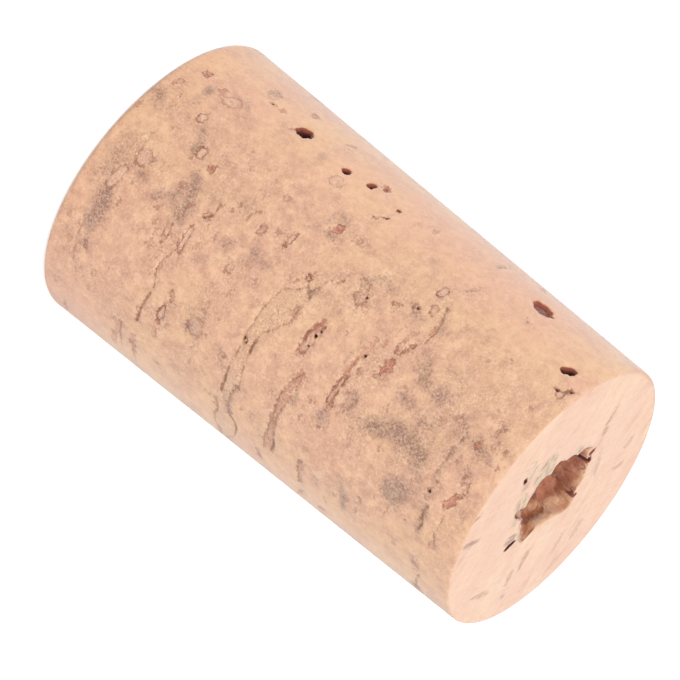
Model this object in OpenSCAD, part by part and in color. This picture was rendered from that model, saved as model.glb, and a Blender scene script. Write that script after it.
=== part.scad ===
// Head cork of a transverse flute: one tapered plug of natural cork with a hole
// for the stopper rod right through its middle.
//
// It stands on its wide end with +Z along its axis, and Z = 0 is the wide end.
// An angle is counted round the cork from its front (-Y) towards its right (+X).
// A height is a share of the cork's length, counted up from the wide end.

/* [Body] */
// Length along the axis, from the wide end to the narrow end
cork_len = 30; // [22:0.5:40]
// Diameter at the wide end
wide_d = 18.05; // [17:0.05:22]
// Diameter at the narrow end
narrow_d = 16.75; // [14:0.05:17]
// Radius to which the rim of the wide end is worn
rim_round = 0.4; // [0.1:0.1:1]
// Angle by which the narrow end is cut out of square
cut_angle = 1.2; // [0:0.1:3]
// Angle round the cork at which that slanting cut is highest
cut_side = 116; // [0:1:359]

/* [Rod hole] */
// Diameter of the hole for the stopper rod
bore_d = 4; // [3:0.1:6]

/* [Torn mouth] */
// Depth to which the cork has crumbled round the hole at the narrow end
tear_depth = 1.8; // [0.6:0.1:4]
// Farthest that the break reaches out from the wall of the hole
tear_reach = 1.4; // [0.5:0.1:2.5]
// Ledges in which the broken cork falls away to the hole
tear_ledges = 3; // [2:1:4]

/* [Lenticels] */
// Depth of an open pore's straight part as a share of its diameter
pore_sink = 0.5; // [0.2:0.1:1]
// Depth of the pointed bottom below it as a share of the same diameter
pore_point = 0.5; // [0.2:0.1:1]
// Width across a cracked streak for each millimetre of its depth
crack_flare = 2.4; // [1:0.1:4]

/* [Hidden] */

wide_r = wide_d / 2;
narrow_r = narrow_d / 2;
bore_r = bore_d / 2;
// Spare length by which a cutting shape passes the face that it cuts
over = 1;
// Height that the blank has above the axis length, for the slanting cut to remove
spare = narrow_r * tan(cut_angle) + over;
// Segments of a full turn on the body, and on a small hollow
body_fn = 120;
small_fn = 24;
// Points on the quarter circle of the worn rim
rim_steps = 4;

// Break round the mouth, as [angle, share of tear_reach]. A share below nothing
// stays inside the hole, where the rim is whole.
TEAR = [
    [2, 0.86], [15, 0.66], [25, 0.58], [31, 1.0], [37, 0.98], [46, 0.45], [59, 0.5],
    [72, 0.44], [88, 0.6], [98, 0.62], [105, 0.2], [114, -0.15], [140, -0.2],
    [160, -0.1], [172, 0.3], [187, 0.6], [197, 0.42], [207, 0.15], [226, 0.44],
    [240, 0.4], [252, 0.66], [265, 0.8], [276, 1.0], [286, 0.95], [294, 0.6],
    [308, 0.7], [316, 0.64], [326, 0.92], [333, 0.84], [340, 0.56], [347, 0.84]
];

// Deep pockets in the narrow end, as [angle, distance from the wall of the hole,
// length, width, depth, turn of the length out of the radial direction]
POCKETS = [
    [257, 0.7, 0.8, 1.3, 2.4, 10], [263, 1.25, 0.3, 0.6, 1.0, 0], [33, 1.2, 1.0, 0.6, 1.6, 5],
    [200, 0.4, 0.9, 0.3, 1.6, 0], [77, 1.5, 0.95, 0.4, 0.9, 38], [3, 3.1, 0.5, 0.3, 0.7, 20]
];

// Outline of a pocket, for a length and a width of 1
CHIP = [[-0.5, 0.05], [-0.22, 0.4], [0.2, 0.5], [0.5, 0.1], [0.28, -0.38], [-0.15, -0.5]];

// Open pores in the side, where the channels of the bark come out end on, as
// [angle, height, diameter, lean of the channel, direction in which it leans].
// The more a channel leans, the longer its mouth is.
PORES = [
    [-42, 0.943, 0.6, 45, 30], [-62, 0.81, 1.1, 40, -20], [-51, 0.497, 0.3, 0, 0],
    [-56, 0.443, 0.4, 20, 60], [-52.5, 0.424, 0.45, 35, 70], [-49.5, 0.377, 0.6, 10, 0],
    [-51, 0.264, 0.75, 35, 30], [-34, 0.97, 0.4, 30, -20],
    [118, 0.86, 0.6, 30, 20], [133, 0.71, 0.5, 20, 0], [124, 0.6, 0.9, 40, -30],
    [138, 0.47, 0.6, 10, 15], [120, 0.33, 0.7, 35, 35], [129, 0.18, 0.45, 0, 0]
];

// Cracked streaks in the side, where the same channels are cut along their
// length, as [angle of the middle, half its span, height, depth]
STREAKS = [
    [41, 20, 0.577, 0.16], [40, 11, 0.289, 0.14], [27, 22, 0.256, 0.12],
    [44, 36, 0.448, 0.18], [63, 18, 0.49, 0.16], [66, 9, 0.205, 0.18],
    [67, 13, 0.648, 0.12], [11, 9, 0.563, 0.14], [23, 9, 0.945, 0.14],
    [222, 17, 0.85, 0.14], [238, 22, 0.68, 0.16], [216, 14, 0.55, 0.12],
    [232, 26, 0.4, 0.18], [244, 12, 0.25, 0.14], [224, 18, 0.13, 0.14]
];

// Radius of the tapered side at a height in millimetres
function radius_at(z) = wide_r + (narrow_r - wide_r) * z / cork_len;

// Point at an angle round the cork and a distance from its axis
function at_angle(angle, r) = [r * sin(angle), -r * cos(angle)];

// Turns its children, drawn along +X, to an angle round the cork
module turned(angle) {
    rotate([0, 0, angle - 90]) children();
}

// Tapered blank with its worn lower rim, a little longer than the finished cork
module blank() {
    top = cork_len + spare;
    rim = [for (i = [0 : rim_steps])
        let (a = 90 * i / rim_steps)
        [radius_at(rim_round) - rim_round * (1 - sin(a)), rim_round * (1 - cos(a))]];
    rotate_extrude($fn = body_fn)
        polygon(concat([[0, 0]], rim, [[radius_at(top), top], [0, top]]));
}

// Everything above the slanting cut of the narrow end
module end_cut() {
    size = 2 * wide_d;
    turned(cut_side) translate([0, 0, cork_len]) rotate([0, -cut_angle, 0])
        translate([-size / 2, -size / 2, 0]) cube([size, size, spare + size]);
}

// Hole for the rod
module rod_hole() {
    translate([0, 0, -over]) cylinder(h = cork_len + spare + 2 * over, r = bore_r, $fn = body_fn);
}

// Crumbled mouth: each ledge is deeper than the last and reaches less far out
module torn_mouth() {
    for (ledge = [1 : tear_ledges]) {
        reach = tear_reach * (tear_ledges + 1 - ledge) / tear_ledges;
        floor_z = cork_len - tear_depth * ledge / tear_ledges;
        translate([0, 0, floor_z]) linear_extrude(height = cork_len + spare - floor_z)
            polygon([for (t = TEAR) at_angle(t[0], bore_r + reach * t[1])]);
    }
}

module pocket(angle, out, length, width, depth, turn) {
    turned(angle) translate([bore_r + out, 0, cork_len - depth]) rotate([0, 0, turn])
        linear_extrude(height = depth + spare)
            polygon([for (c = CHIP) [length * c[0], width * c[1]]]);
}

// Leaning channel with a blunt pointed bottom
module pore(angle, share, d, lean, direction) {
    z = share * cork_len;
    deep = pore_sink * d;
    tip = deep + pore_point * d;
    turned(angle) translate([radius_at(z), 0, z]) rotate([direction, 0, 0])
        rotate([0, lean - 90, 0]) rotate_extrude($fn = small_fn)
            polygon([[0, -over], [d / 2, -over], [d / 2, deep], [d / 6, tip], [0, tip]]);
}

// The cutting ring is larger than the cork and hung off centre, so its sharp inner
// edge bites deepest in the middle of the streak and runs out at both of its ends.
module streak(angle, half_span, share, depth) {
    z = share * cork_len;
    r = radius_at(z);
    off = depth / (1 - cos(half_span)) * (1 + depth / r);
    edge = r - depth + off;
    wall = over + 2 * depth;
    turned(angle) translate([-off, 0, z]) rotate_extrude($fn = body_fn)
        polygon([[edge, 0], [edge + wall, -crack_flare * wall / 2],
            [edge + wall, crack_flare * wall / 2]]);
}

module cork() {
    color([0.90, 0.72, 0.57])
    difference() {
        blank();
        end_cut();
        rod_hole();
        torn_mouth();
        for (p = POCKETS) pocket(p[0], p[1], p[2], p[3], p[4], p[5]);
        for (p = PORES) pore(p[0], p[1], p[2], p[3], p[4]);
        for (s = STREAKS) streak(s[0], s[1], s[2], s[3]);
    }
}

cork();
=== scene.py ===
import math

import bmesh
import bpy
import numpy as np
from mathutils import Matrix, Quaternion, Vector, noise


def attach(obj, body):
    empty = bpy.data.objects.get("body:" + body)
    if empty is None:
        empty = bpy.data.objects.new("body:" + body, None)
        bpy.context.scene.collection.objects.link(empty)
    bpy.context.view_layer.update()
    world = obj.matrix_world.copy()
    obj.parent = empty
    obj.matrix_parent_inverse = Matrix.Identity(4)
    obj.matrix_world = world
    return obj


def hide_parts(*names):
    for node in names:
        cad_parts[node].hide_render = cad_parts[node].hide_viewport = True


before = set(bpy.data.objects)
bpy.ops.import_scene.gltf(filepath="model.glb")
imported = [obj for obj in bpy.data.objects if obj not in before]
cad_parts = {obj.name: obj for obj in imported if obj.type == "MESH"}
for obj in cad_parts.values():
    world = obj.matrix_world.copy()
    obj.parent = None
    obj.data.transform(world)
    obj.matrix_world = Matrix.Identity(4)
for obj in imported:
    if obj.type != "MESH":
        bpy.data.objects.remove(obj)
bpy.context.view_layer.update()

# Head cork of a transverse flute: one tapered plug of natural cork, standing on its wide end,
# with the torn mouth of the rod hole at the top. Shapes are worked out in millimetres.
# An angle is counted round the cork from its front (-Y) towards its right (+X), in degrees.
MM = 0.001

# -------- sizes of the plug
CORK_LEN = 30.0
WIDE_R = 18.05 / 2
NARROW_R = 16.75 / 2
MEAN_R = (WIDE_R + NARROW_R) / 2
BORE_R = 2.0
RIM_ROUND = 0.4
TOP_ROUND = 0.12
# The narrow end is cut out of square: its slope, and the angle at which it is highest.
CUT_RISE = math.tan(math.radians(1.2))
CUT_SIDE = 116.0

# -------- marks of the bark
# Open pores in the side: angle, height, length, width, slant of the length, depth.
OPEN_PORES = [
    (-43, 28.3, 1, 0.55, -50, 0.9), (-62.2, 24.2, 1.5, 1.2, 55, 0.28), (-60, 24.55, 1.1, 0.36, -60, 0.5),
    (-51, 7.7, 1.05, 0.85, -45, 1.2), (-49.5, 11.1, 0.6, 0.55, 0, 0.9), (-52.3, 12.6, 0.7, 0.4, -15, 0.6),
    (-56.2, 13.2, 0.5, 0.4, 30, 0.12), (-51, 14.8, 0.28, 0.22, 0, 0.3), (118, 25.8, 0.8, 0.6, 20, 0.6),
    (133, 21.3, 0.6, 0.5, 0, 0.5), (124, 18, 1.2, 0.9, -30, 0.6), (138, 14.1, 0.6, 0.6, 15, 0.5),
    (120, 9.9, 0.9, 0.7, 35, 0.7), (129, 5.4, 0.5, 0.45, 0, 0.4),
]

# Pores filled with red-brown cork: angle, height, length, width, slant, strength.
RUST = [
    (-40.2, 2.95, 0.6, 0.36, -10, 0.6), (-39.5, 3.9, 0.4, 0.6, 25, 0.35), (-2.4, 2.8, 0.7, 0.5, -8, 0.45),
    (-34, 20.35, 0.5, 0.25, 0, 0.3), (-52.6, 5.8, 0.5, 0.4, -65, 0.9), (-52, 5.2, 0.5, 0.2, -75, 0.5),
    (-56.2, 13.2, 0.6, 0.45, 30, 0.8), (-64, 9.6, 0.65, 0.28, -35, 0.9), (-63.5, 6.85, 0.75, 0.42, 25, 0.9),
    (-57.5, 4.6, 0.65, 0.45, -50, 0.6), (-42.3, 1.5, 0.55, 0.45, -10, 1.2),
    (-31.5, 0.9, 0.6, 0.35, -20, 0.6),
    (-78, 22.8, 1, 0.35, 15, 0.45), (-26.7, 13.75, 0.8, 0.42, -12, 1.15), (-28, 15, 0.55, 0.4, 0, 0.75),
    (-8.4, 10.65, 0.6, 0.3, -10, 0.95), (-14, 6.15, 0.55, 0.38, 20, 0.9), (1, 21.15, 1.1, 0.5, -12, 1),
    (25.5, 28.3, 1.25, 0.5, -22, 1), (22, 28.7, 0.6, 0.1, -8, 0.9), (-1, 28.65, 0.4, 0.28, -10, 0.8),
    (5.2, 16.72, 0.9, 0.4, -22, 1.15), (9.5, 16.5, 0.8, 0.16, -4, 1), (16, 16.6, 0.6, 0.5, 30, 0.8),
    (31, 8.55, 0.65, 0.25, 12, 0.9), (65, 7, 1.3, 0.32, 3, 0.9), (66, 5.6, 1.3, 0.45, -25, 0.6),
    (-19.2, 19.3, 0.5, 0.14, -62, 0.9), (-18, 19.05, 0.35, 0.14, -30, 0.9),
    (-25.6, 20.85, 0.5, 0.25, -8, 0.7),
    (-19.5, 21.8, 0.75, 0.2, 8, 1), (-9.5, 21.4, 0.8, 0.22, -20, 0.85), (-6.5, 20.92, 0.5, 0.18, 8, 0.9),
    (-11, 20.95, 0.3, 0.25, 0, 0.5), (45.3, 28.45, 0.35, 0.3, 0, 0.8), (60, 27.7, 0.5, 0.45, 0, 0.7),
    (15.5, 28.65, 0.3, 0.25, 0, 0.85), (17, 28.35, 0.35, 0.18, -20, 0.8), (14, 28.3, 0.22, 0.2, 0, 0.6),
    (4.5, 29.4, 0.4, 0.2, 5, 0.8), (-2, 29.3, 0.3, 0.2, 0, 0.5), (-7.5, 28.3, 0.5, 0.2, -20, 0.7),
    (2.3, 27.85, 0.45, 0.3, 15, 0.8), (26.5, 27, 0.3, 0.2, 0, 0.8), (22, 27.1, 0.25, 0.15, 0, 0.6),
    (37, 27.2, 0.7, 0.16, -4, 0.8), (40.5, 27.45, 0.4, 0.14, -25, 0.7), (76, 1.6, 1.3, 0.25, -8, 0.6),
    (36, 2.5, 0.5, 0.25, 15, 0.7), (38.5, 1.4, 0.5, 0.3, 0, 0.4), (26.5, 23.4, 0.25, 0.2, 0, 0.8),
    (18, 21.55, 0.25, 0.18, 0, 0.7), (-43.5, 14.8, 0.35, 0.2, -50, 1.1), (-41, 14.5, 0.55, 0.14, -35, 0.9),
    (-50.5, 14.85, 0.3, 0.2, 0, 0.6), (68, 16.3, 0.5, 0.25, -20, 0.6), (71, 16.42, 0.7, 0.22, 5, 0.95),
    (76, 20.9, 0.8, 0.3, -15, 0.7), (35.5, 10.1, 0.4, 0.14, 10, 0.9), (32, 11, 0.4, 0.12, 20, 0.5),
    (38, 10.6, 0.4, 0.14, 60, 0.5), (-15, 0.35, 0.6, 0.2, 0, 0.6), (3, 19.75, 0.4, 0.22, 10, 0.7),
    (8.5, 20.1, 0.3, 0.22, 0, 0.6), (8, 19.55, 0.6, 0.22, -12, 0.8), (-2.5, 19.7, 0.7, 0.25, -15, 0.6),
    (26, 19.8, 0.4, 0.14, 35, 0.9), (35.5, 19.7, 0.3, 0.12, -60, 0.7), (28.5, 18.7, 0.3, 0.12, 60, 0.6),
    (44, 14.35, 0.35, 0.3, 60, 0.5), (-52, 16.2, 0.8, 0.15, -20, 0.25), (48, 8.35, 0.7, 0.2, 0, 0.8),
    (43, 8.38, 0.8, 0.16, 0, 1), (-5.5, 20.2, 0.4, 0.15, 0, 0.4), (0.5, 18.2, 0.4, 0.12, 20, 0.4),
    (-10, 18.2, 0.7, 0.2, 5, 0.4), (-47.8, 7.15, 0.4, 0.16, -25, 0.9), (5.5, 15.1, 0.5, 0.3, 10, 0.35),
    (-12.5, 17.2, 0.5, 0.12, -15, 0.9), (-14.5, 17.5, 0.3, 0.12, 70, 0.7), (-10.5, 17.7, 0.4, 0.12, 60, 0.6),
    (-12.8, 17.8, 0.5, 0.12, 20, 0.7), (-11, 17.35, 0.25, 0.1, -60, 0.8), (6, 15.5, 0.2, 0.15, 0, 0.5),
]

# Pores of which only the outline shows round a paler core, same columns.
RINGS = [
    (-32.1, 29.05, 0.5, 0.4, 0, 1), (-35.2, 29.3, 0.3, 0.22, 20, 0.8), (-12.5, 17.45, 0.9, 0.6, 10, 0.5),
    (-34, 20.4, 0.75, 0.46, -8, 1.1), (-42.2, 11.35, 0.85, 0.75, 0, 0.45), (-26.5, 3.5, 0.62, 0.5, 0, 0.9),
    (-39.3, 3.8, 0.75, 1.05, 25, 0.6), (-24.6, 9.2, 0.3, 0.2, -10, 0.4), (-2.2, 2.75, 1, 0.85, -8, 0.8),
    (9, 2.15, 1.65, 0.6, -8, 0.75), (-16.2, 5.05, 0.7, 0.42, 5, 1), (13.3, 6.42, 1.1, 0.28, 2, 0.8),
    (10.8, 7.52, 1.6, 0.32, 4, 0.9), (25, 7.1, 0.8, 0.24, 3, 0.8), (-6, 14.5, 0.32, 0.36, 0, 1.1),
    (-7.9, 14.75, 0.22, 0.4, 20, 0.9), (39, 8.38, 1.1, 0.3, -4, 1), (10.5, 16.75, 1.9, 0.5, -8, 0.6),
    (-12.5, 12.3, 1, 0.22, -6, 0.9), (19, 19.52, 1.9, 0.3, -2, 0.8), (-8.6, 10.68, 0.75, 0.4, -8, 0.6),
    (-22, 20.1, 0.55, 0.4, 20, 0.7), (17, 4.95, 0.35, 0.4, 0, 0.5), (5.8, 21, 0.35, 0.32, 0, 0.6),
    (45.3, 28.45, 0.5, 0.45, 0, 0.5), (-55, 17, 0.45, 0.2, 10, 0.5), (-26, 20.85, 0.7, 0.42, -5, 0.7),
    (60, 19.38, 1.5, 0.28, 3, 0.7), (51.5, 13.85, 0.8, 0.55, 10, 0.5), (-0.5, 7.7, 0.45, 0.2, -40, 0.7),
    (34.5, 10.6, 1, 0.9, 30, 0.35), (36, 25.1, 1.5, 1.05, -15, 0.3), (-1, 28.65, 0.6, 0.45, 0, 0.4),
    (16, 28.5, 0.9, 0.5, -15, 0.35), (-57, 4.6, 0.9, 0.75, 0, 0.3), (-28, 15, 0.8, 0.55, 0, 0.3),
]

# Cracks and seams: strength, warmth (0 grey olive, 1 red brown), half width, points as (angle, height).
SEAMS = [
    (0.8, 0.5, 0.035, [(-4, 14.75), (-2, 14.65), (0, 14.42), (1.5, 14), (3, 13.75), (7, 13.65), (12, 13.5),
        (17, 13.52), (23, 13.45), (31, 13.5), (38, 13.42), (43, 13.4), (50, 13.35), (53, 13.12),
        (57, 13.15), (61, 13.35), (65, 13.12), (72, 13.05), (76, 13.3), (81, 13.15)]),
    (0.8, 0.5, 0.035, [(3, 15.2), (8, 15.2), (10, 15.3), (13, 14.95), (17, 14.6), (19, 14.3), (23, 14.15),
        (33, 14.15), (40, 14.3), (44, 14.42), (47, 14.1), (53, 13.98), (57, 14.05), (60, 14.15),
        (61, 14.45), (65, 14.72), (70, 14.6), (74, 14.4), (78, 14), (81, 13.7)]),
    (1.1, 0.45, 0.075, [(42, 13.38), (46, 13.45), (48, 13.38), (51, 13.35)]),
    (1.1, 0.5, 0.08, [(24, 14.15), (26, 14.1), (29, 14.15)]),
    (1, 0.1, 0.05, [(24, 13.42), (26.5, 13.5), (28.5, 13.65)]),
    (1, 0.2, 0.06, [(25, 13.6), (26, 13.75)]),
    (0.9, 0.2, 0.07, [(60, 14.1), (61.3, 14.5), (63, 14.65), (66, 14.72)]),
    (0.9, 0.1, 0.06, [(59, 13.3), (62, 13.35), (66, 13.12)]),
    (0.8, 0.3, 0.045, [(-5.5, 15.3), (-3, 15.2), (-1.8, 15), (-0.5, 15.35), (0.5, 15.4)]),
    (0.7, 0.3, 0.05, [(-1.8, 15), (-3.5, 14.8)]),
    (0.8, 0.6, 0.04, [(15, 7.45), (18, 7.3), (21, 7.15), (23, 7), (27, 7), (29, 7.15), (31, 7.3),
        (33, 7.35)]),
    (0.9, 0.9, 0.075, [(35.5, 7.28), (40, 7.15), (45, 7.1), (50, 7.03)]),
    (0.9, 0.8, 0.045, [(-7, 8.1), (-6, 7.9), (-4, 7.95), (-1, 7.95), (0.5, 7.75), (1, 7.6)]),
    (0.7, 0.5, 0.06, [(-13.5, 9.95), (-12, 9.7), (-10, 9.6), (-8, 9.62)]),
    (0.8, 0.45, 0.06, [(-30, 21.25), (-27, 21.45), (-24, 21.7), (-20, 21.8)]),
    (0.7, 0.8, 0.045, [(-18, 21.85), (-14, 21.85), (-11, 21.55), (-8, 21.5), (-5, 21.2)]),
    (1.2, 0.3, 0.05, [(-36.5, 29.5), (-35, 29.25), (-34.3, 29.1), (-33.4, 28.95), (-32.9, 28.7),
        (-32.6, 28.5)]),
    (0.9, 0.3, 0.04, [(-31.6, 29.25), (-30.6, 29.3), (-29.8, 29.15)]),
    (1.1, 0.3, 0.05, [(-36.5, 29.4), (-36, 29.15)]),
    (0.8, 0.5, 0.05, [(65, 28.1), (70, 27.85), (76, 27.75), (82, 27.6)]),
    (0.8, 0.8, 0.04, [(3, 19.75), (5, 19.55), (9, 19.5), (13, 19.65), (15, 19.4), (20, 19.32), (25, 19.4)]),
    (0.7, 0.6, 0.04, [(12, 19.75), (17, 19.65), (22, 19.68), (25, 19.85)]),
    (0.65, 0.3, 0.06, [(-69, 20.75), (-66, 20.6), (-64, 20.65)]),
    (0.5, 0.3, 0.05, [(-74, 20.65), (-71, 20.8)]),
    (0.6, 0.5, 0.05, [(3, 26.95), (8, 26.8), (14, 26.85), (20, 26.75)]),
    (0.8, 0.4, 0.06, [(32, 27.3), (36, 27.2), (40, 27.45), (43, 27.35)]),
    (0.9, 0.95, 0.05, [(4, 16.6), (6, 16.45), (10, 16.4), (12, 16.5)]),
    (0.8, 0.8, 0.045, [(22, 17.5), (25, 17.25), (28, 17.05), (33, 16.85), (38, 16.85), (43, 16.9),
        (50, 16.85), (56, 16.72), (62, 16.75)]),
    (0.7, 0.6, 0.04, [(25, 17.55), (30, 17.55), (34, 17.45), (39, 17.25), (45, 17.15), (53, 17.3),
        (57, 17.4), (61, 17.3)]),
    (1, 0.6, 0.07, [(55, 17.35), (58, 17.4), (60, 17.3)]),
    (0.7, 0.6, 0.05, [(56, 6.05), (63, 6), (71, 6.1)]),
    (0.5, 0.5, 0.05, [(28, 1.85), (35, 1.8), (41, 1.95), (47, 2.1)]),
    (0.5, 0.7, 0.04, [(-47, 21.35), (-45, 21.5), (-43, 21.25), (-41, 21.1)]),
    (0.5, 0.6, 0.04, [(-51.5, 24.3), (-50, 24.4), (-48, 24.65)]),
    (0.7, 0.9, 0.04, [(31, 28.4), (36, 28.35), (41, 28.3), (43, 28.5)]),
    (0.6, 0.2, 0.05, [(15, 20.5), (17, 20.85), (19, 20.9), (21, 20.65), (24, 20.5)]),
    (0.6, 0.5, 0.04, [(43, 25.3), (46, 25.2), (50, 25.05)]),
    (0.6, 0.3, 0.05, [(-13, 16.1), (-11, 15.9), (-10, 15.5), (-8, 15.4)]),
    (0.5, 0.3, 0.05, [(36, 13.1), (38, 12.75)]),
]

# Wider streaks filled with red-brown cork: strength, half width, then points as (angle, height).
BANDS = [
    (0.45, 0.26, [(23, 17.45), (27, 17.3), (34, 17.15), (42, 17.05), (50, 17), (57, 17.08), (61, 17.05)]),
    (0.35, 0.15, [(-3, 19.7), (3, 19.65), (8, 19.5), (14, 19.55), (19, 19.5), (25, 19.55)]),
    (0.75, 0.13, [(55, 19.3), (60, 19.38), (67, 19.42)]),
    (0.5, 0.1, [(72, 19.5), (76, 19.25), (80, 19.1)]),
    (0.6, 0.1, [(58, 6.95), (66, 7), (76, 7)]),
    (0.45, 0.16, [(57, 6), (63, 5.8), (69, 5.5), (73, 5.4)]),
    (0.25, 0.1, [(35, 8.38), (42, 8.35), (50, 8.3)]),
    (0.4, 0.16, [(9, 16.75), (13, 16.7), (17.5, 16.55)]),
]

# Grainy cork of an olive tan, same columns as the streaks.
GRAINY = [
    (0.7, 0.6, [(-1, 15), (6, 14.5), (12, 14.2), (18, 14)]),
    (0.6, 0.35, [(18, 13.85), (30, 13.85), (44, 13.85), (58, 13.7), (72, 13.8), (79, 13.5)]),
    (0.6, 0.3, [(23, 17.3), (34, 17.2), (45, 17.05), (60, 17.05)]),
    (0.8, 0.5, [(-15, 17.5), (-10, 17.5)]),
    (0.5, 1, [(-8, 24.6), (2, 25.2), (12, 25.6), (24, 25.2), (36, 25)]),
    (0.5, 0.7, [(4, 20.8), (12, 20.6), (22, 20.4)]),
    (0.5, 0.6, [(14, 23.4), (20, 22.4), (26, 21.4)]),
    (0.5, 0.8, [(-4, 1.9), (6, 1.4), (14, 1.9)]),
    (0.4, 0.7, [(-18, 27), (-8, 25.9), (-2, 25.6)]),
    (0.4, 0.6, [(30, 10.2), (36, 10.4)]),
]

# Small dark holes in the side, their darkness painted shade as in the deep pores: angle, height, diameter.
# They get the columns of the open pores.
SPECK_DEPTH = 0.5
SPECKS = [(angle, height, wide, wide, 0, SPECK_DEPTH) for angle, height, wide in (
    (8.5, 16.88, 0.15), (6.2, 16.98, 0.1), (13, 16.85, 0.08), (3, 19.78, 0.09), (-51, 14.8, 0.2),
    (27, 27, 0.12), (26.7, 13.68, 0.12), (25.5, 13.5, 0.09), (-32.9, 28.75, 0.14), (-36.2, 29.35, 0.12),
    (-52, 5.1, 0.1), (-13.5, 17.7, 0.08), (-22.5, 20.15, 0.1), (-43.8, 14.85, 0.12),
)]

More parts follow.
